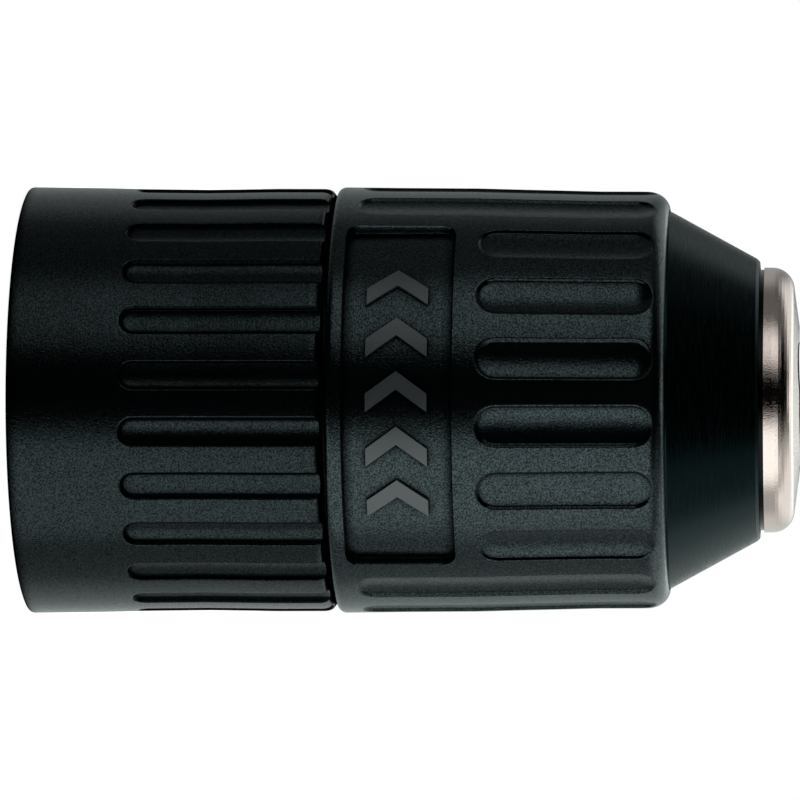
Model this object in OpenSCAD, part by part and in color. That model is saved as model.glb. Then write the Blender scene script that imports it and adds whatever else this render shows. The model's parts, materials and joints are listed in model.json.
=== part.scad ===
// Keyless two-sleeve drill chuck with a 13 mm capacity and a threaded spindle socket.
// Millimetres. The chuck's axis is +Z, its nose points up, and its rear rim stands on z = 0.

/* [Sleeves] */
// Outer radius of the rear sleeve at its plain rear band
rear_r = 21.5; // [21.3:0.1:22]
// Front end of the rear sleeve
rear_top = 30.8; // [30.7:0.05:30.9]
// Number of grip grooves round the rear sleeve
rear_grooves = 24; // [12:1:26]
// Rear end of the front sleeve's grip
front_bottom = 31.15; // [31.1:0.05:31.4]
// Number of grip grooves round the front sleeve
front_grooves = 20; // [12:1:22]
// Depth of the flat-bottomed recess that carries the turn marks
panel_depth = 0.55; // [0.3:0.05:0.7]
// Angle that the recess covers
panel_angle = 103; // [80:1:110]
// Roll of the recess about the chuck's axis
panel_roll = -2; // [-10:1:10]

/* [Body] */
// Radius of the plain bore that a drill shank passes through
shank_bore_r = 6.7; // [6.5:0.05:6.72]
// Radius of the spindle socket, the tap size of its 1/2-20 UNF thread
spindle_r = 5.75; // [5.5:0.05:5.9]
// Depth of the spindle socket
spindle_depth = 16.7; // [14:0.1:17]
// Radius of the hole for the left-hand M6 retaining screw
screw_hole_r = 3.25; // [3.1:0.05:3.5]
// Radius of the bright nose
nose_r = 13.25; // [13:0.05:13.3]

/* [Jaws] */
// Radius of each jaw's round shank
jaw_r = 3.3; // [3.2:0.05:3.3]
// Length of each jaw
jaw_length = 34; // [33:0.5:34]
// Radial distance from the chuck's axis to the grip edges with the chuck wide open
grip_open_r = 6.75; // [6.75:0.05:6.8]

/* [Bearing] */
// Number of balls in the thrust bearing
ball_count = 24; // [16:1:28]
// Radius of each ball
ball_r = 1.1; // [1:0.01:1.1]

/* [Hidden] */
$fn = 96;

// Play between pieces that are pressed or laid together, so that they touch without sharing space
seat = 0.02;

// Jaws: each slides along its own axis, which leans towards the chuck's axis at the nose
jaw_lean = 15.5;
jaw_tip_z = 69;
jaw_tip_r = 7.1;
jaw_bore_r = jaw_r + 0.05;
jaw_back_r = 18.25;
jaw_bore_bottom = 34.5;

// Body
body_bottom = 0.8;
hub_r = 11;
clip_groove_z = 2.4;
clip_groove_width = 1.1;
clip_groove_depth = 0.7;
flange_bottom = 30.05;
flange_r = 18.3;
ring_seat_r = 16.55;
ring_seat_z = 48.4;
bearing_z = 50.8;
nut_groove_r = 10.9;
nose_bottom = 63.6;
nose_corner_r = 2.2;
nose_corner_z = 74.5;
nose_top = 77.2;
relief_z = 73.1;
relief_width = 0.6;
relief_depth = 0.2;
web_thickness = 2.5;
edge = 0.6;

// Length over which each grip groove tapers out
groove_run_out = 1.3;

// Rear sleeve, and the bush and plate inside it
rear_rim_bore_r = 19.35;
rear_bore_r = 19.02;
rear_lip_bore_r = 18.35;
rear_rim_depth = 2.3;
rear_groove_r = 1.95;
rear_groove_end_r = 1.1;
rear_groove_depth = 0.7;
rear_groove_z = 12.2;
rear_groove_roll = 0.9;
bush_bottom = 3.55;
bush_web_r = 12.8;
bush_end = 2;
plate_thickness = 1.6;
plate_hole_r = 0.8;
plate_holes_at = 15;

// Ratchet ring, and the spring band whose finger clicks over it
ratchet_teeth = 36;
ratchet_tip_r = 17.6;
ratchet_root_r = 17.25;
spring_r = 18.1;
spring_thickness = 0.38;
spring_width = 1.6;
spring_lift = 0.4;

// Thrust bearing
race_thickness = 1;
race_inner_r = 15.85;
race_outer_r = 18.2;
ball_pitch_r = 16.95;
ball_play = 0.01;
ball_z = bearing_z + race_thickness + ball_r + ball_play;
front_race_z = ball_z + ball_r + ball_play;
cage_thickness = 1;
cage_inner_r = 15.5;
cage_outer_r = 18.3;

// Split nut, with a conical thread that the jaws' teeth run in
nut_bottom = front_race_z + race_thickness;
nut_top = 63.4;
nut_r = 17.5;
nut_gap = 0.1;
pitch = 2;
tooth_depth = 0.9;
groove_floor = 0.7;
flank_slope = tan(20);
crest_play = 0.12;
crest_width = 0.5;
root_play = 0.15;
thread_steps = 36;
thread_turns = 6;
thread_start = nut_bottom - 2.2;
teeth_behind = 8;
teeth_ahead = 5;

// Steel core, and the front sleeve's grip moulded round it
core_bottom = 46;
core_r = 19.4;
core_inner_r = 18.5;
core_shoulder_z = 63.6;
cone_base_r = 18.85;
cone_base_z = 64.4;
cone_front_r = 14.15;
cone_front_z = 73.25;
core_hole_r = nose_r + 0.15;
core_shoulder_play = 0.1;
key_size = [3, 1.7, 6];
key_r = 16.65;
key_z = 56.2;
grip_bore_r = 18.75;
grip_front_bore_r = 19.05;
grip_top = 64.25;
grip_groove_r = 4.6;
grip_groove_end_r = 3.8;
grip_groove_at = 25.15;
grip_groove_low = 2.4;
grip_groove_high = 32;
grip_groove_above_panel = 14.6;
panel_r = 21;
panel_low = 1.7;
panel_height = 10.7;
mark_count = 5;
mark_step = 15;
mark_height = 0.3;
mark_z = 7;

function arc(centre, r, from, to, steps) =
    [for (i = [0 : steps]) let (a = from + (to - from) * i / steps) centre + r * [cos(a), sin(a)]];

// Radius of the jaws' outermost line, and of the threads' crest line, at a height
function jaw_line(z) = jaw_tip_r + (jaw_tip_z - z) * tan(jaw_lean) + jaw_r / cos(jaw_lean);
function crest_line(z) = jaw_line(z) - tooth_depth + crest_play;

// Straight round groove along +Z, with its rear end tapering out over the run-out
module groove_tool(r, end_r, length) {
    cylinder(h = length, r = r);
    translate([0, 0, -groove_run_out]) cylinder(h = groove_run_out + 0.01, r1 = end_r, r2 = r);
}

module ring(inner, outer, height) {
    rotate_extrude() translate([inner, 0]) square([outer - inner, height]);
}

module on_jaw_axis(turn) {
    rotate([0, 0, turn]) translate([jaw_tip_r, 0, jaw_tip_z]) rotate([0, -jaw_lean, 0]) children();
}

// ---------------------------------------------------------------- body and what is fixed to it
module body_outline() {
    polygon(concat(
        [[spindle_r + edge, body_bottom], [hub_r - edge, body_bottom], [hub_r, body_bottom + edge],
            [hub_r, clip_groove_z], [hub_r - clip_groove_depth, clip_groove_z],
            [hub_r - clip_groove_depth, clip_groove_z + clip_groove_width],
            [hub_r, clip_groove_z + clip_groove_width], [hub_r, flange_bottom],
            [flange_r, flange_bottom], [flange_r, ring_seat_z],
            [ring_seat_r, ring_seat_z], [ring_seat_r, bearing_z], [nut_groove_r, bearing_z],
            [nut_groove_r, nose_bottom], [nose_r, nose_bottom], [nose_r, relief_z],
            [nose_r - relief_depth, relief_z], [nose_r - relief_depth, relief_z + relief_width],
            [nose_r, relief_z + relief_width]],
        arc([nose_r - nose_corner_r, nose_corner_z], nose_corner_r, 0, 90, 10),
        [[shank_bore_r + edge, nose_top], [shank_bore_r, nose_top - edge],
            [shank_bore_r, body_bottom + spindle_depth + web_thickness],
            [screw_hole_r, body_bottom + spindle_depth + web_thickness],
            [screw_hole_r, body_bottom + spindle_depth], [spindle_r, body_bottom + spindle_depth],
            [spindle_r, body_bottom + edge]]));
}

module chuck_body() {
    color([0.74, 0.70, 0.66]) difference() {
        rotate_extrude() body_outline();
        for (turn = [0, 120, 240]) on_jaw_axis(turn)
            translate([0, 0, (jaw_bore_bottom - jaw_tip_z) / cos(jaw_lean)]) cylinder(h = 60, r = jaw_bore_r);
    }
}

module rear_bearing_race() {
    color([0.62, 0.63, 0.65]) translate([0, 0, bearing_z]) ring(race_inner_r, race_outer_r, race_thickness);
}

module ratchet_ring() {
    step = 360 / ratchet_teeth;
    color([0.45, 0.45, 0.47]) translate([0, 0, ring_seat_z]) linear_extrude(bearing_z - ring_seat_z)
        difference() {
            polygon([for (i = [0 : ratchet_teeth - 1]) each [ratchet_tip_r * [cos(i * step), sin(i * step)],
                ratchet_root_r * [cos((i + 1) * step), sin((i + 1) * step)]]]);
            circle(r = ring_seat_r + seat);
        }
}

module rear_sleeve() {
    color([0.05, 0.05, 0.055]) difference() {
        rotate_extrude() polygon(concat(
            [[rear_rim_bore_r, 0], [rear_r - 0.4, 0], [rear_r, 0.4], [rear_r - 0.1, 7], [rear_r - 0.3, 17],
                [rear_r - 0.22, 25]],
            arc([rear_r - 1.25, rear_top - 1], 1, 0, 90, 6),
            [[rear_lip_bore_r, rear_top], [rear_lip_bore_r, flange_bottom - 0.03],
                [rear_bore_r, flange_bottom - 0.03], [rear_bore_r, rear_rim_depth],
                [rear_rim_bore_r, rear_rim_depth]]));
        for (i = [0 : rear_grooves - 1])
            rotate([0, 0, 360 / rear_grooves * (i + 0.5) - 90 + rear_groove_roll])
                translate([rear_r - 0.25 - rear_groove_depth + rear_groove_r, 0, rear_groove_z])
                    groove_tool(rear_groove_r, rear_groove_end_r, 20);
    }
}

module rear_hub_bush() {
    outer = rear_bore_r - seat;
    top = flange_bottom - 0.05;
    color([0.2, 0.2, 0.21]) rotate_extrude() polygon([[hub_r + seat, bush_bottom], [outer, bush_bottom],
        [outer, bush_bottom + bush_end], [bush_web_r, bush_bottom + bush_end], [bush_web_r, top - bush_end],
        [outer, top - bush_end], [outer, top], [hub_r + seat, top]]);
}

module back_plate() {
    color([0.3, 0.3, 0.31]) difference() {
        translate([0, 0, edge]) ring(hub_r + seat, rear_rim_bore_r - seat, plate_thickness);
        for (turn = [60, 180, 300]) rotate([0, 0, turn]) translate([plate_holes_at, 0, 0])
            cylinder(h = 3, r = plate_hole_r);
    }
}

module rear_circlip() {
    color([0.35, 0.35, 0.36]) translate([0, 0, clip_groove_z + 0.05]) difference() {
        ring(hub_r - clip_groove_depth + 0.05, hub_r + 1.6, clip_groove_width - 0.1);
        translate([5, -1.2, -1]) cube([10, 2.4, 3]);
    }
}

// ---------------------------------------------------------------- what turns with the front sleeve
module grip_groove(bottom, top) {
    length = top - bottom - 2 * groove_run_out;
    translate([grip_groove_at, 0, bottom + groove_run_out]) {
        groove_tool(grip_groove_r, grip_groove_end_r, length);
        translate([0, 0, length - 0.01])
            cylinder(h = groove_run_out + 0.01, r1 = grip_groove_r, r2 = grip_groove_end_r);
    }
}

module panel_space(low, high) {
    rotate([0, 0, -90 - panel_angle / 2 + panel_roll]) rotate_extrude(angle = panel_angle)
        translate([low, front_bottom + panel_low]) square([high - low, panel_height]);
}

module front_grip() {
    step = 360 / front_grooves;
    color([0.05, 0.05, 0.055]) difference() {
        rotate_extrude() polygon(concat(
            [[grip_bore_r, front_bottom], [20.95, front_bottom], [21.45, front_bottom + 0.5], [21.3, 45],
                [20.95, 57]],
            arc([19.1, grip_top - 1.85], 1.85, 0, 80, 6),
            [[grip_front_bore_r, grip_top], [grip_front_bore_r, core_shoulder_z + core_shoulder_play],
                [core_r + seat, core_shoulder_z + core_shoulder_play], [core_r + seat, core_bottom],
                [grip_bore_r, core_bottom]]));
        for (i = [0 : front_grooves - 1]) {
            away = abs(((i + 0.5) * step + 180) % 360 - 180);
            low = away < panel_angle / 2 ? grip_groove_above_panel : grip_groove_low;
            rotate([0, 0, -90 + panel_roll + (i + 0.5) * step])
                grip_groove(front_bottom + low, front_bottom + grip_groove_high);
        }
        panel_space(panel_r - panel_depth, panel_r + 2);
    }
}

module steel_core() {
    color([0.07, 0.07, 0.075]) difference() {
        rotate_extrude() polygon([[core_inner_r, core_bottom], [core_r, core_bottom],
            [core_r, core_shoulder_z], [cone_base_r, core_shoulder_z], [cone_base_r, cone_base_z],
            [cone_front_r, cone_front_z - 0.3], [cone_front_r - 0.3, cone_front_z],
            [core_hole_r, cone_front_z], [core_hole_r, nut_top + 0.05], [nut_r + seat, nut_top + 0.05],
            [nut_r + seat, nut_bottom], [core_inner_r, nut_bottom]]);
        for (turn = [90, 270]) rotate([0, 0, turn]) translate([key_r - 0.65, -key_size[0] / 2, key_z])
            cube([key_size[1] + 0.65 + seat, key_size[0], key_size[2]]);
    }
}

// Solid whose surface is the conical right-hand thread, for cutting the nut
module thread_tap() {
    n = thread_steps;
    last = n * thread_turns;
    function root(z) = jaw_line(z) + root_play;
    function run(z) = (root(z) - crest_line(z)) * flank_slope;
    function rz(z, k) =
        k == 0 ? [crest_line(z), z - crest_width / 2] :
        k == 1 ? [crest_line(z), z + crest_width / 2] :
        k == 2 ? let (h = z + crest_width / 2 + run(z)) [root(h), h] :
        let (h = z + pitch - crest_width / 2 - run(z)) [root(h), h];
    points = [for (i = [0 : last], k = [0 : 3])
        let (p = rz(thread_start + pitch * i / n, k), a = 360 * i / n) [p[0] * cos(a), p[0] * sin(a), p[1]]];
    low = len(points);
    high = low + 1;
    function id(i, k) = i * 4 + k;
    bands = [for (i = [0 : last - 1], k = [0 : 2])
        each [[id(i, k), id(i, k + 1), id(i + 1, k + 1)], [id(i, k), id(i + 1, k + 1), id(i + 1, k)]]];
    joins = [for (i = [0 : last - n - 1])
        each [[id(i, 3), id(i + n, 0), id(i + n + 1, 0)], [id(i, 3), id(i + n + 1, 0), id(i + 1, 3)]]];
    floor_loop = concat([for (i = [0 : n]) id(i, 0)], [id(0, 3), id(0, 2), id(0, 1)]);
    roof_loop = concat([for (i = [last - n : last]) id(i, 3)], [id(last, 2), id(last, 1), id(last, 0)]);
    floor_fan = [for (i = [0 : len(floor_loop) - 1])
        [low, floor_loop[i], floor_loop[(i + 1) % len(floor_loop)]]];
    roof_fan = [for (i = [0 : len(roof_loop) - 1])
        [high, roof_loop[(i + 1) % len(roof_loop)], roof_loop[i]]];
    polyhedron(concat(points, [[0, 0, thread_start - 2], [0, 0, thread_start + pitch * thread_turns + 4]]),
        concat(bands, joins, floor_fan, roof_fan));
}

module nut_half(turn) {
    color([0.55, 0.52, 0.47]) difference() {
        rotate([0, 0, turn]) intersection() {
            translate([0, 0, nut_bottom]) ring(nut_groove_r + 0.15, nut_r, nut_top - nut_bottom);
            translate([-20, nut_gap / 2, nut_bottom - 1]) cube([40, 20, 12]);
        }
        rotate([0, 0, turn]) translate([-key_size[0] / 2, key_r - 0.05, key_z])
            cube([key_size[0], 3, key_size[2]]);
        thread_tap();
    }
}

module nut_half_a() { nut_half(0); }
module nut_half_b() { nut_half(180); }

module front_bearing_race() {
    color([0.62, 0.63, 0.65]) translate([0, 0, front_race_z])
        ring(race_inner_r, race_outer_r, race_thickness);
}

module drive_keys() {
    color([0.4, 0.4, 0.41]) for (turn = [90, 270]) rotate([0, 0, turn])
        translate([key_r, -key_size[0] / 2 + seat, key_z + seat])
            cube([key_size[1], key_size[0] - 2 * seat, key_size[2] - 2 * seat]);
}

// Spring band inside the core, whose bent finger clicks over the ratchet ring
module detent_spring() {
    color([0.5, 0.5, 0.52]) translate([0, 0, ring_seat_z + spring_lift]) rotate([0, 0, 20]) {
        rotate_extrude(angle = 300) translate([spring_r, 0]) square([spring_thickness, spring_width]);
        translate([spring_r - 0.4, -0.4, 0]) cube([0.62, 0.8, spring_width]);
    }
}

// Raised marks in the recess: a row of chevrons that point the way the sleeve turns to tighten
module grip_marks() {
    color([0.62, 0.63, 0.65]) intersection() {
        translate([0, 0, front_bottom]) ring(panel_r - panel_depth, panel_r - panel_depth + mark_height, 20);
        for (i = [0 : mark_count - 1])
            rotate([0, 0, -90 + panel_roll + mark_step * (i - (mark_count - 1) / 2)])
            translate([18, 0, front_bottom + mark_z]) rotate([90, 0, 90]) linear_extrude(5)
                polygon([[1.9, -3], [0.1, -3], [-2.1, 0], [0.1, 3], [1.9, 3], [-0.3, 0]]);
    }
}

// ---------------------------------------------------------------- bearing cage and balls
module ball_cage() {
    color([0.72, 0.56, 0.28]) difference() {
        translate([0, 0, ball_z - cage_thickness / 2]) ring(cage_inner_r, cage_outer_r, cage_thickness);
        for (i = [0 : ball_count - 1]) rotate([0, 0, 360 / ball_count * i])
            translate([ball_pitch_r, 0, ball_z - 2]) cylinder(h = 4, r = ball_r + 0.05);
    }
}

module bearing_balls() {
    color([0.8, 0.8, 0.82]) for (i = [0 : ball_count - 1]) rotate([0, 0, 360 / ball_count * i])
        translate([ball_pitch_r, 0, ball_z]) sphere(ball_r);
}

// ---------------------------------------------------------------- jaws
module jaw(number) {
    turn = 120 * number;
    tooth_r = crest_line((nut_bottom + nut_top) / 2) - crest_play;
    lead_angle = atan(pitch / (2 * PI * tooth_r));
    first = thread_start + pitch * number / 3;
    color([0.6, 0.6, 0.62]) rotate([0, 0, turn]) difference() {
        intersection() {
            on_jaw_axis(0) translate([0, 0, -jaw_length]) cylinder(h = jaw_length + 3, r = jaw_r);
            translate([0, 0, 20]) cylinder(h = jaw_tip_z - 20, r = jaw_back_r);
            translate([grip_open_r, 0, 20]) linear_extrude(60)
                polygon([[0, 0], [15, 15 * tan(60)], [15, -15 * tan(60)]]);
        }
        for (z = [first - teeth_behind * pitch : pitch : first + teeth_ahead * pitch + 0.1])
            if (jaw_line(z) - tooth_depth < jaw_back_r)
                translate([jaw_line(z) - tooth_depth - tooth_r, 0, z]) rotate([lead_angle, 0, 0])
                    rotate([0, 0, 135]) rotate_extrude() polygon([[tooth_r, -groove_floor / 2],
                        [tooth_r + 3, -groove_floor / 2 - 3 * flank_slope],
                        [tooth_r + 3, groove_floor / 2 + 3 * flank_slope], [tooth_r, groove_floor / 2]]);
    }
}

module jaw_1() { jaw(0); }
module jaw_2() { jaw(1); }
module jaw_3() { jaw(2); }

chuck_body();
rear_bearing_race();
ratchet_ring();
rear_sleeve();
rear_hub_bush();
back_plate();
rear_circlip();
front_grip();
steel_core();
nut_half_a();
nut_half_b();
front_bearing_race();
drive_keys();
detent_spring();
grip_marks();
ball_cage();
bearing_balls();
jaw_1();
jaw_2();
jaw_3();
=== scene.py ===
"""Looks of the keyless drill chuck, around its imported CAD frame. Metres; the chuck's axis is +Z."""
import json
import math

import bpy
import numpy as np
from mathutils import Matrix, Vector


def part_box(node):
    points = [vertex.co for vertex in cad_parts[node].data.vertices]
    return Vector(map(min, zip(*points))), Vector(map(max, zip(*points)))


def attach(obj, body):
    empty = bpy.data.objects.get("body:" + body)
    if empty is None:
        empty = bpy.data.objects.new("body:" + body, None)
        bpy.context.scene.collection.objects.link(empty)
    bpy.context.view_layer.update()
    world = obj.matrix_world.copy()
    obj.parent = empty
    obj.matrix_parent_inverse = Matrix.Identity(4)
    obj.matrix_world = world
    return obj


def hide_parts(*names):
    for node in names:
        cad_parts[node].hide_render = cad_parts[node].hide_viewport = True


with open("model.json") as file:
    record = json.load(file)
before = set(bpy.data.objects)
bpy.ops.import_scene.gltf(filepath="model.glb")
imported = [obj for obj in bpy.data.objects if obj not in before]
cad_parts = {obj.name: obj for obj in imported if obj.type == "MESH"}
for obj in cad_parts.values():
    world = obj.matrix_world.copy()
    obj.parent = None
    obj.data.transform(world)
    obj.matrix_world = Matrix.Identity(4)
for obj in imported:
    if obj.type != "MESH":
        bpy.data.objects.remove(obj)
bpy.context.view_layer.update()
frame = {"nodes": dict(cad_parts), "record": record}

MM = 0.001
rear_low, rear_high = (Vector(p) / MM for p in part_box("rear_sleeve"))
grip_low, grip_high = (Vector(p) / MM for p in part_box("front_grip"))

# ---------------------------------------------------------------- camera
CAMERA_AWAY = 645 * MM      # from the chuck's axis
CAMERA_UP = 83.5 * MM       # along the axis, just past the nose
LOOK_AT = 37.1 * MM         # the middle of the picture, along the axis
VIEW_WIDTH = 80.4 * MM      # what the picture spans at the axis


def make_camera():
    data = bpy.data.cameras.new("camera")
    camera = bpy.data.objects.new("camera", data)
    bpy.context.collection.objects.link(camera)
    place = Vector((0, -CAMERA_AWAY, CAMERA_UP))
    back = (place - Vector((0, 0, LOOK_AT))).normalized()
    up = Vector((-1, 0, 0))
    right = up.cross(back)
    turn = Matrix((right, up, back)).transposed().to_4x4()
    camera.matrix_world = Matrix.Translation(place) @ turn
    data.sensor_width = 36
    data.lens = 36 * (place - Vector((0, 0, LOOK_AT))).length / VIEW_WIDTH
    data.clip_start = 0.01
    bpy.context.scene.camera = camera


make_camera()


# ---------------------------------------------------------------- material helpers
class Tree:
    """A node tree under construction, and short ways to add and join its nodes."""

    def __init__(self, tree, place):
        self.nodes = tree.nodes
        self.links = tree.links
        self.place = self.nodes.new("ShaderNodeTexCoord").outputs[place]

    def set(self, node, values):
        for name, value in values.items():
            node.inputs[name].default_value = value
        return node

    def add(self, kind, values=None, **settings):
        node = self.nodes.new(kind)
        for name, value in settings.items():
            setattr(node, name, value)
        return self.set(node, values or {})

    def join(self, output, node, name):
        self.links.new(output, node.inputs[name])

    def math(self, operation, *values):
        node = self.add("ShaderNodeMath", operation=operation)
        for socket, value in zip(node.inputs, values):
            if isinstance(value, bpy.types.NodeSocket):
                self.links.new(value, socket)
            else:
                socket.default_value = value
        return node.outputs["Value"]

    def tint(self, fac, low, high, start=0.3, end=0.7):
        node = self.add("ShaderNodeValToRGB")
        ramp = node.color_ramp.elements
        ramp[0].position, ramp[0].color = start, (*low, 1)
        ramp[1].position, ramp[1].color = end, (*high, 1)
        self.join(fac, node, "Fac")
        return node.outputs["Color"]


class Shader(Tree):
    """A material under construction."""

    def __init__(self, name, color, roughness, metallic=0.0):
        self.material = bpy.data.materials.new(name)
        self.material.use_nodes = True
        super().__init__(self.material.node_tree, "Object")
        self.surface = self.nodes["Principled BSDF"]
        self.set(self.surface, {"Base Color": (*color, 1), "Roughness": roughness, "Metallic": metallic})

    def noise(self, grain_mm, stretch=(1, 1, 1), detail=3.0, roughness=0.55):
        """Noise whose features are about grain_mm across, squeezed by stretch along each axis."""
        mapping = self.add("ShaderNodeMapping", {"Scale": tuple(s / (grain_mm * MM) for s in stretch)})
        self.join(self.place, mapping, "Vector")
        node = self.add("ShaderNodeTexNoise", {"Scale": 1.0, "Detail": detail, "Roughness": roughness})
        self.join(mapping.outputs["Vector"], node, "Vector")
        return node.outputs["Fac"]

    def between(self, fac, low, high, start=0.3, end=0.7):
        """Maps a noise from start..end to low..high."""
        ends = {"From Min": start, "From Max": end, "To Min": low, "To Max": high}
        node = self.add("ShaderNodeMapRange", ends)
        self.join(fac, node, "Value")
        return node.outputs["Result"]

    def bump(self, height, depth_mm, before=None):
        node = self.add("ShaderNodeBump", {"Strength": 1.0, "Distance": depth_mm * MM})
        self.join(height, node, "Height")
        if before is not None:
            self.join(before, node, "Normal")
        return node.outputs["Normal"]

    def finish(self, color=None, roughness=None, normal=None):
        for output, name in ((color, "Base Color"), (roughness, "Roughness"), (normal, "Normal")):
            if output is not None:
                self.join(output, self.surface, name)
        return self.material


SLEEVES_MEET = 31           # height of the gap between the two sleeves, mm
PLATING_FROM = 73.72        # height where the body's bright plating starts, mm; it starts inside the relief groove, so the dark steel there is partly a painted dark ring of shade between the cone and the nose
PAINTED_SHADE_REACH = 1.2         # how near a wall has to be for the painted crevice shade to darken the plastic, mm


def black_plastic():
    """Glass-filled nylon from a spark-eroded mould: a fine pored grain, with painted shade that cuts its
    shine in every crevice.

    The rear sleeve shines less than the front one, which starts at SLEEVES_MEET."""
    s = Shader("black_plastic", (0.0006, 0.001, 0.0013), 0.2)
    s.set(s.surface, {"IOR": 1.5, "Specular Tint": (0.76, 0.95, 1.0, 1)})
    grain = s.noise(0.16, detail=1.0, roughness=0.6)
    pores = s.noise(0.15, detail=1.0)
    cloud = s.noise(3.5, detail=3)
    color = s.tint(cloud, (0.0003, 0.0007, 0.0009), (0.0008, 0.0013, 0.0016))
    split = s.add("ShaderNodeSeparateXYZ")
    s.join(s.place, split, "Vector")
    dull = s.between(split.outputs["Z"], 0.57, 1.0, (SLEEVES_MEET - 1) * MM, (SLEEVES_MEET + 1) * MM)
    # painted shade: ambient occlusion cuts the plastic's shine in crevices and near walls
    painted_occlusion = s.add("ShaderNodeAmbientOcclusion", {"Distance": PAINTED_SHADE_REACH * MM}, samples=6)
    light_after_painted_shade = s.between(painted_occlusion.outputs["AO"], 0.0, 1.0, 0.62, 0.96)
    # painted shadow: a mesh attribute cuts the shine on the grooves' walls
    painted_shadow = s.add("ShaderNodeAttribute", attribute_name="painted_shadow").outputs["Fac"]
    light_after_painted_shade = s.math("MULTIPLY", light_after_painted_shade, s.math("SUBTRACT", 1.0, painted_shadow))
    shine = s.math("MULTIPLY", s.between(pores, 0.2, 0.84, 0.38, 0.62), s.math("MULTIPLY", dull, light_after_painted_shade))
    s.join(shine, s.surface, "Specular IOR Level")
    return s.finish(color, s.between(grain, 0.15, 0.23), s.bump(grain, 0.02))


def turned_steel(name, low, high, roughness):
    """Steel with fine circumferential tool marks round the Z axis."""
    s = Shader(name, low, roughness[0], 1.0)
    marks = s.noise(0.05, stretch=(0.004, 0.004, 1), detail=3)
    grain = s.noise(0.16, detail=3)
    normal = s.bump(grain, 0.002, s.bump(marks, 0.004))
    return s.finish(s.tint(grain, low, high), s.between(marks, *roughness), normal)


def black_steel():
    """Turned, blackened and oiled: fine tool marks that catch a blue-green light."""
    s = Shader("black_steel", (0.0002, 0.0004, 0.0004), 0.3)
    s.set(s.surface, {"IOR": 1.5, "Specular IOR Level": 0.18, "Specular Tint": (0.4, 0.9, 1.0, 1)})
    lines = s.noise(0.13, stretch=(0.06, 0.06, 1), detail=3, roughness=0.65)
    fine = s.noise(0.05, stretch=(0.01, 0.01, 1), detail=2)
    color = s.tint(lines, (0.0001, 0.0003, 0.0003), (0.0012, 0.003, 0.0033), 0.5, 0.75)
    return s.finish(color, s.between(lines, 0.16, 0.34), s.bump(fine, 0.004, s.bump(lines, 0.01)))


def grained_metal(name, low, high, roughness, grain_mm=0.2, depth_mm=0.004):
    """Metal with an even grain, as tumbled, plated or phosphated parts have."""
    s = Shader(name, low, roughness[0], 1.0)
    grain = s.noise(grain_mm, detail=4, roughness=0.6)
    cloud = s.noise(2.5, detail=2)
    return s.finish(s.tint(cloud, low, high), s.between(grain, *roughness), s.bump(grain, depth_mm))


def plated_body():
    """The body's nose is nickel-plated; the rest of it, inside the sleeves, is oiled dark steel, and so is
    the relief groove's floor, a painted dark ring of shade behind the nose.
    """
    s = Shader("nickel", (0.8, 0.735, 0.68), 0.25, 1.0)
    grain = s.noise(0.12, detail=2, roughness=0.6)
    split = s.add("ShaderNodeSeparateXYZ")
    s.join(s.place, split, "Vector")
    plated = s.math("GREATER_THAN", split.outputs["Z"], PLATING_FROM * MM)
    mix = s.add("ShaderNodeMix", data_type="RGBA")
    s.join(plated, mix, "Factor")
    dark, bright = mix.inputs[6:8]      # the two colours that an RGBA mix goes between
    s.links.new(s.tint(grain, (0.008, 0.008, 0.008), (0.014, 0.014, 0.014)), dark)
    s.links.new(s.tint(grain, (0.78, 0.62, 0.565), (0.87, 0.70, 0.645)), bright)
    return s.finish(mix.outputs[2], s.between(grain, 0.05, 0.1), s.bump(grain, 0.02))


def plain_plastic(name, low, high, roughness, level=0.5):
    """Moulded plastic or thick ink with an even grain; level is how strongly it shines."""
    s = Shader(name, low, roughness[0])
    s.set(s.surface, {"Specular IOR Level": level})
    grain = s.noise(0.15, detail=3)
    return s.finish(s.tint(grain, low, high), s.between(grain, *roughness), s.bump(grain, 0.006))


MATERIALS = {
    "black_plastic": black_plastic(),
    "black_steel": black_steel(),
    "nickel": plated_body(),
    "bearing_steel": turned_steel("bearing_steel", (0.55, 0.56, 0.58), (0.66, 0.67, 0.69), (0.16, 0.3)),
    "hardened_steel": grained_metal("hardened_steel", (0.3, 0.3, 0.32), (0.42, 0.42, 0.44), (0.34, 0.5)),
    "bush_plastic": plain_plastic("bush_plastic", (0.10, 0.10, 0.105), (0.13, 0.13, 0.135), (0.45, 0.6)),
    "plate_steel": grained_metal("plate_steel", (0.16, 0.16, 0.17), (0.24, 0.24, 0.25), (0.42, 0.6),
                                 grain_mm=0.12, depth_mm=0.008),
    "spring_steel": grained_metal("spring_steel", (0.32, 0.32, 0.34), (0.42, 0.42, 0.44), (0.26, 0.4)),
    "nut_steel": turned_steel("nut_steel", (0.42, 0.40, 0.37), (0.54, 0.52, 0.49), (0.24, 0.4)),
    "grey_ink": plain_plastic("grey_ink", (0.026, 0.03, 0.034), (0.044, 0.049, 0.054), (0.3, 0.4),
                              level=0.9),
    "cage_brass": grained_metal("cage_brass", (0.68, 0.48, 0.2), (0.78, 0.58, 0.28), (0.26, 0.4)),
    "ball_steel": grained_metal("ball_steel", (0.72, 0.72, 0.74), (0.8, 0.8, 0.82), (0.08, 0.14),
                                grain_mm=0.3, depth_mm=0.0005),
    "jaw_steel": turned_steel("jaw_steel", (0.44, 0.44, 0.46), (0.58, 0.58, 0.6), (0.2, 0.36)),
}


def dress_frame():
    slots = {row["node"]: row["material_slot"] for row in frame["record"]["subparts"]}
    for name, obj in frame["nodes"].items():
        obj.data.materials.clear()
        obj.data.materials.append(MATERIALS[slots[name]])


dress_frame()


# ---------------------------------------------------------------- sleeves as fine height fields
def smooth_positive(value, softness):
    """max(value, 0) with its corner rounded over about softness."""
    return 0.5 * (value + np.sqrt(value * value + softness * softness))


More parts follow.
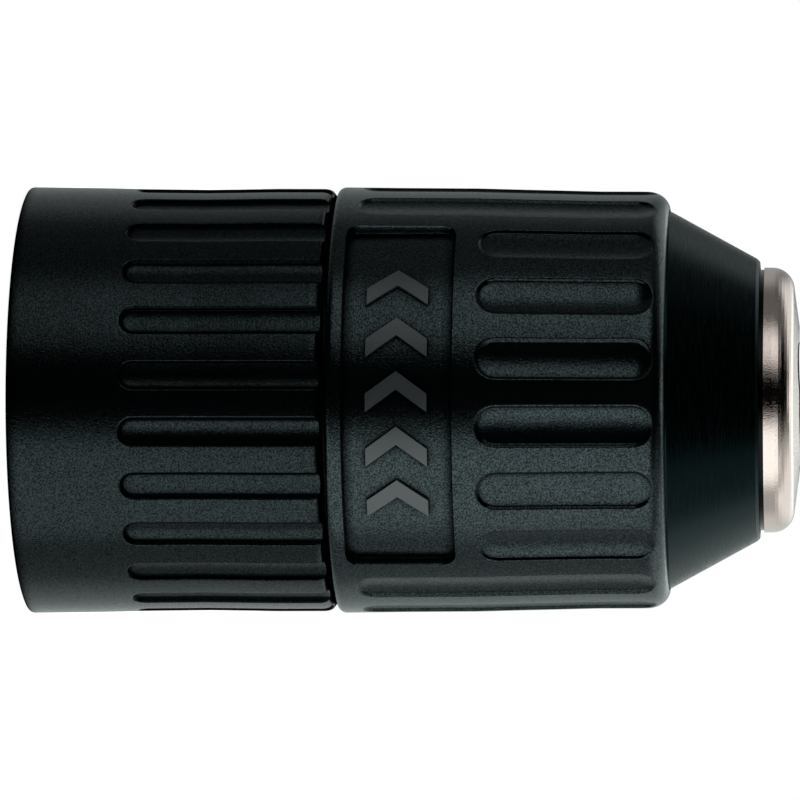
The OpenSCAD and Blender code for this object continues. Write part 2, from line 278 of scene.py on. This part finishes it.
def smooth_step(value):
    t = np.clip(value, 0, 1)
    return t * t * (3 - 2 * t)


def turns_apart(angle, centre):
    """Signed angle from centre, in radians, wrapped to half a turn either way."""
    return (angle - centre + math.pi) % (2 * math.pi) - math.pi


def scoop(across, along, low, high, half_width, wall, hollow):
    """Depth of a groove with steep walls, a gently hollow floor and round ends, and how much painted shadow
    a place gets.

    The painted shadow runs along the walls, with softer edges towards the floor than towards the rim."""
    beyond = np.maximum(np.maximum(low + half_width - along, along - high + half_width), 0)
    away = np.hypot(across, beyond)
    inward = half_width - away
    depth = smooth_step(inward / WALL_WIDTH) * (wall + hollow * (1 - (away / half_width) ** 2))
    painted_shadow = smooth_step(inward / RIM_SOFTNESS) * (1 - smooth_step((inward - WALL_SHADOW) / FLOOR_SOFTNESS))
    return depth, painted_shadow


def spaced(stops):
    """Sorted places that run through (start, end, step) stretches."""
    places = [np.arange(a, b, s) for a, b, s in stops] + [[stops[-1][1]]]
    return np.concatenate(places)


def revolve_mesh(name, outer, angles, inner):
    """A closed shell round the chuck's axis.

    outer is (radii, heights, painted_shadow): radii[i, k] and painted_shadow[i, k] belong to angles[i] and
    heights[k].
    inner is a list of (radius, height) points that leads back to the start."""
    radii, heights, painted_shadow = outer
    turns = len(angles)
    rings = [(radii[:, k], np.full(turns, heights[k])) for k in range(len(heights))]
    rings += [(np.full(turns, r), np.full(turns, z)) for r, z in inner]
    c, s = np.cos(angles), np.sin(angles)
    points = np.concatenate([np.stack([r * c, r * s, z], 1) for r, z in rings]) * MM
    count = len(rings)
    i = np.arange(turns)
    j = (i + 1) % turns
    faces = []
    for k in range(count):
        a, b = k * turns, ((k + 1) % count) * turns
        faces.append(np.stack([a + i, a + j, b + j, b + i], 1))
    mesh = bpy.data.meshes.new(name)
    mesh.from_pydata(points.tolist(), [], np.concatenate(faces).tolist())
    mesh.polygons.foreach_set("use_smooth", np.ones(len(mesh.polygons), bool))
    mesh.set_sharp_from_angle(angle=HARD_CORNER)
    # the painted shadow of the groove walls, one value per point; the inner rings get none
    shades = np.zeros(len(points), np.float32)
    shades[:painted_shadow.size] = painted_shadow.T.ravel()
    mesh.attributes.new("painted_shadow", "FLOAT", "POINT").data.foreach_set("value", shades)
    obj = bpy.data.objects.new(name, mesh)
    bpy.context.collection.objects.link(obj)
    return obj


def rounding(distance, length, drop):
    """How far an elliptic corner falls over the last length before an end, at a distance from that end."""
    t = np.clip(1 - distance / length, 0, 1)
    return drop * (1 - np.sqrt(1 - t ** 2))


def lower_of(a, b):
    """The smaller of two radii, with the crease between them rounded."""
    return a - smooth_positive(a - b, CREASE_SOFTNESS)


FRONT = -math.pi / 2        # the direction that faces the camera
HARD_CORNER = math.radians(50)      # corners turned more sharply than this are shaded as edges

# Sizes of the sleeves' grooves and of the panel, in mm
WALL_WIDTH = 0.34           # how much of a groove's width each of its walls takes
WALL_SHADOW = 0.42          # how far in from a groove's edge its wall gets painted shadow
RIM_SOFTNESS, FLOOR_SOFTNESS = 0.12, 0.2    # widths over which that painted shadow comes and goes
CREASE_SOFTNESS = 0.08      # how round the crease between two surfaces is

REAR_GROOVES = 24
REAR_ROLL = math.radians(0.9)
REAR_HALF_WIDTH = 1.5
REAR_WALL, REAR_HOLLOW = 0.36, 0.3
REAR_GROOVE_START = 10.9
PAST_THE_END = 5            # how far a groove would run on past the sleeve's front edge
REAR_SHADOW = 0.88          # how strongly painted shadow darkens the walls of the grooves, 0 to 1


def rear_sleeve():
    bottom, top = rear_low.z, rear_high.z
    z = spaced([(bottom, 0.5, 0.06), (0.5, 10.6, 0.5), (10.6, 13.0, 0.1), (13.0, 29.4, 0.4),
                (29.4, top, 0.07)])
    pitch = 2 * math.pi / REAR_GROOVES
    across = spaced([(-0.5, -0.36, 0.035), (-0.36, -0.18, 0.012), (-0.18, 0.18, 0.024), (0.18, 0.36, 0.012),
                     (0.36, 0.5, 0.035)])[:-1]
    angles = (np.arange(REAR_GROOVES)[:, None] * pitch + across[None] * pitch).ravel()
    angles = angles + pitch / 2 + FRONT + REAR_ROLL
    off = np.tile(across, REAR_GROOVES) * pitch
    profile = np.interp(z, [0, 2.9, 7.4, 11.9, 18, 21, 25, 31],
                        [21.5, 21.46, 21.39, 21.28, 21.2, 21.23, 21.28, 21.25])
    edge = profile - rounding(z - bottom, 0.35, 0.3) - 0.5 * np.clip(1 - (top - z) / 1.3, 0, 1) ** 2
    chamfer = profile - 0.85 * np.clip(1 - (top - z) / 0.7, 0, 1) ** 1.3
    groove, painted_shadow = scoop(off[:, None] * profile[None], z[None], REAR_GROOVE_START, top + PAST_THE_END,
                           REAR_HALF_WIDTH, REAR_WALL, REAR_HOLLOW)
    radii = np.minimum(lower_of(edge[None], profile[None] - groove), chamfer[None])
    inner = [(18.5, top), (18.37, top - 0.15), (18.37, 30.03), (19.02, 30.02), (19.02, 2.3), (19.35, 2.3),
             (19.35, bottom + 0.1), (19.45, bottom)]
    obj = revolve_mesh("rear_sleeve_skin", (radii, z, REAR_SHADOW * painted_shadow), angles, inner)
    obj.data.materials.append(MATERIALS["black_plastic"])
    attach(obj, "body")
    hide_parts("rear_sleeve")


FRONT_GROOVES = 20
GRIP_ROLL = math.radians(-2)
GRIP_HALF_WIDTH = 2.1
GRIP_WALL, GRIP_HOLLOW = 0.2, 0.42
# how strongly painted shadow darkens the walls of the grip's grooves, 0 to 1
GRIP_SHADOW = 0.35
PANEL_HALF_ANGLE = math.radians(51.5)
PANEL_LOW, PANEL_HIGH = 1.7, 12.4      # along the axis, from the grip's rear edge
PANEL_CORNER = 1.3
PANEL_RADIUS = 21.2         # where the panel's arc is measured
PANEL_WALL = 0.12           # width of the slope from the panel's rim to its floor
PANEL_FLOOR = 20.42
WITNESS_ANGLE, WITNESS_DEPTH = 0.0012, 0.05     # half width, in radians, and depth of a mould line
SHORT_START, LONG_START, GROOVE_END = 14.6, 2.4, 32.1


def front_grip():
    bottom, top = grip_low.z, grip_high.z
    z = spaced([(bottom, bottom + 1.5, 0.08), (bottom + 1.5, bottom + 3.1, 0.04),
                (bottom + 3.1, bottom + 4.6, 0.12), (bottom + 4.6, bottom + 11.0, 0.35),
                (bottom + 11.0, bottom + 12.6, 0.04),
                (bottom + 12.6, bottom + 17, 0.1), (bottom + 17, bottom + 29.8, 0.4),
                (bottom + 29.8, top, 0.09)])
    pitch = 2 * math.pi / FRONT_GROOVES
    across = spaced([(-0.5, -0.36, 0.03), (-0.36, -0.24, 0.01), (-0.24, 0.24, 0.024), (0.24, 0.36, 0.01),
                     (0.36, 0.5, 0.03)])[:-1]
    middle = FRONT + GRIP_ROLL
    angles = (np.arange(FRONT_GROOVES)[:, None] * pitch + across[None] * pitch).ravel() + pitch / 2 + middle
    edges = [side * (PANEL_HALF_ANGLE + d) for side in (-1, 1)
             for d in np.concatenate([np.arange(-0.064, -0.004, 0.003), np.arange(-0.004, 0.0045, 0.001)])]
    angles = np.concatenate([angles, np.array(edges) + middle]) % (2 * math.pi)
    angles = np.unique(np.round(angles, 7))
    from_middle = turns_apart(angles, middle)
    off = turns_apart(from_middle, pitch / 2)
    off = (off + pitch / 2) % pitch - pitch / 2
    profile = np.interp(z, [31.15, 37.1, 45.1, 49.2, 53.2, 57.2, 61.2, 64.4],
                        [21.42, 21.34, 21.27, 21.15, 21.05, 20.94, 20.92, 20.85])
    edge = profile - rounding(z - bottom, 0.8, 0.6) - rounding(top - z, 2.3, 1.8)
    short = np.abs(from_middle) < PANEL_HALF_ANGLE
    start = np.where(short, SHORT_START, LONG_START) + bottom
    groove, painted_shadow = scoop(off[:, None] * profile[None], z[None], start[:, None], bottom + GROOVE_END,
                           GRIP_HALF_WIDTH, GRIP_WALL, GRIP_HOLLOW)
    radii = lower_of(edge[None], profile[None] - groove)
    # the recess: a rounded rectangle sunk to a floor of one radius
    half_arc = PANEL_HALF_ANGLE * PANEL_RADIUS
    u = np.abs(from_middle[:, None]) * PANEL_RADIUS - (half_arc - PANEL_CORNER)
    centre, half = bottom + (PANEL_LOW + PANEL_HIGH) / 2, (PANEL_HIGH - PANEL_LOW) / 2
    v = np.abs(z[None] - centre) - (half - PANEL_CORNER)
    outside = np.hypot(np.maximum(u, 0), np.maximum(v, 0)) + np.minimum(np.maximum(u, v), 0) - PANEL_CORNER
    sunk = smooth_step(0.5 - outside / PANEL_WALL)
    radii = radii * (1 - sunk) + PANEL_FLOOR * sunk
    # faint witness lines where the mould's insert met it
    line = np.exp(-((np.abs(from_middle) - PANEL_HALF_ANGLE) / WITNESS_ANGLE) ** 2)[:, None]
    radii = radii - WITNESS_DEPTH * line * (z[None] < bottom + PANEL_HIGH) * (1 - sunk)
    inner = [(19.07, top), (19.07, 63.72), (19.42, 63.7), (19.42, 46), (18.77, 46), (18.77, bottom + 0.1),
             (18.87, bottom)]
    obj = revolve_mesh("front_grip_skin", (radii, z, GRIP_SHADOW * painted_shadow), angles, inner)
    obj.data.materials.append(MATERIALS["black_plastic"])
    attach(obj, "front_sleeve")
    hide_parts("front_grip")


rear_sleeve()
front_grip()


# ---------------------------------------------------------------- floor and light
FLOOR_GLOW = 0.86           # keeps the floor pale in the picture; it lights nothing


def make_floor():
    mesh = bpy.data.meshes.new("floor")
    radius, sides = 0.25, 128
    rim = [(radius * math.cos(2 * math.pi * i / sides), radius * math.sin(2 * math.pi * i / sides), 0)
           for i in range(sides)]
    mesh.from_pydata(rim, [], [range(sides)])
    floor = bpy.data.objects.new("floor", mesh)
    bpy.context.collection.objects.link(floor)
    s = Shader("floor", (0.8, 0.8, 0.8), 0.8)
    s.set(s.surface, {"Emission Color": (1, 1, 1, 1), "Specular IOR Level": 0.0})
    seen = s.add("ShaderNodeLightPath").outputs["Is Camera Ray"]
    s.join(s.math("MULTIPLY", seen, FLOOR_GLOW), s.surface, "Emission Strength")
    floor.data.materials.append(s.material)
    floor.visible_glossy = False    # keeps the floor out of the chuck's reflections


def window(s, value, low, high, soft):
    """1 between two angles in degrees and 0 outside them, with edges 2 * soft wide."""
    slopes = []
    for edge, before, after in ((low, 0.0, 1.0), (high, 1.0, 0.0)):
        ends = {"From Min": math.radians(edge - soft), "From Max": math.radians(edge + soft),
                "To Min": before, "To Max": after}
        slope = s.add("ShaderNodeMapRange", ends, interpolation_type="SMOOTHSTEP")
        s.join(value, slope, "Value")
        slopes.append(slope.outputs["Result"])
    return s.math("MULTIPLY", *slopes)


# Soft boxes of the studio: (angle from, to) round the chuck's axis, measured from its front towards -X;
# (angle from, to) above the horizon; edge softness; radiance
SOFT_BOXES = (
    ((31, 66), (-8, 35), 6, 0.95),
    ((70, 110), (-60, 35), 8, 0.13),
    ((-80, -20), (-60, 35), 7, 1.4),
    ((-108, -84), (-60, 35), 6, 0.45),
    ((-96, -50), (38, 74), 9, 0.5),
    ((82, 140), (38, 74), 9, 0.16),
    ((-181, -112), (-70, 16), 12, 0.7),
    ((116, 181), (-60, 12), 12, 0.36),
    ((-168, -98), (18, 68), 10, 1.0),
    ((120, 168), (20, 68), 10, 0.85),
    ((168, 181), (14, 86), 8, 1.7),
    ((-181, -168), (14, 86), 8, 1.7),
)
DARK_LEVEL = 0.002          # what the unlit room sends back
COOL_LIGHT = (0.9, 1.0, 0.99)       # its colour; the backdrop itself is seen as plain white


def make_light():
    scene = bpy.context.scene
    scene.view_settings.view_transform = "Standard"
    scene.world = bpy.data.worlds.new("studio")
    scene.world.use_nodes = True
    s = Tree(scene.world.node_tree, "Generated")
    split = s.add("ShaderNodeSeparateXYZ")
    s.join(s.place, split, "Vector")
    x, y, z = (split.outputs[k] for k in "XYZ")
    across = s.math("ARCTAN2", s.math("MULTIPLY", x, -1.0), s.math("MULTIPLY", y, -1.0))
    above = s.math("ARCSINE", z)
    level = DARK_LEVEL
    for (left, right), (low, high), soft, radiance in SOFT_BOXES:
        box = s.math("MULTIPLY", window(s, across, left, right, soft), window(s, above, low, high, soft))
        level = s.math("ADD", level, s.math("MULTIPLY", box, radiance))
    seen = s.add("ShaderNodeLightPath").outputs["Is Camera Ray"]
    back = s.nodes["Background"]
    s.join(s.tint(seen, COOL_LIGHT, (1, 1, 1)), back, "Color")
    s.join(s.math("MAXIMUM", level, seen), back, "Strength")


make_floor()
make_light()
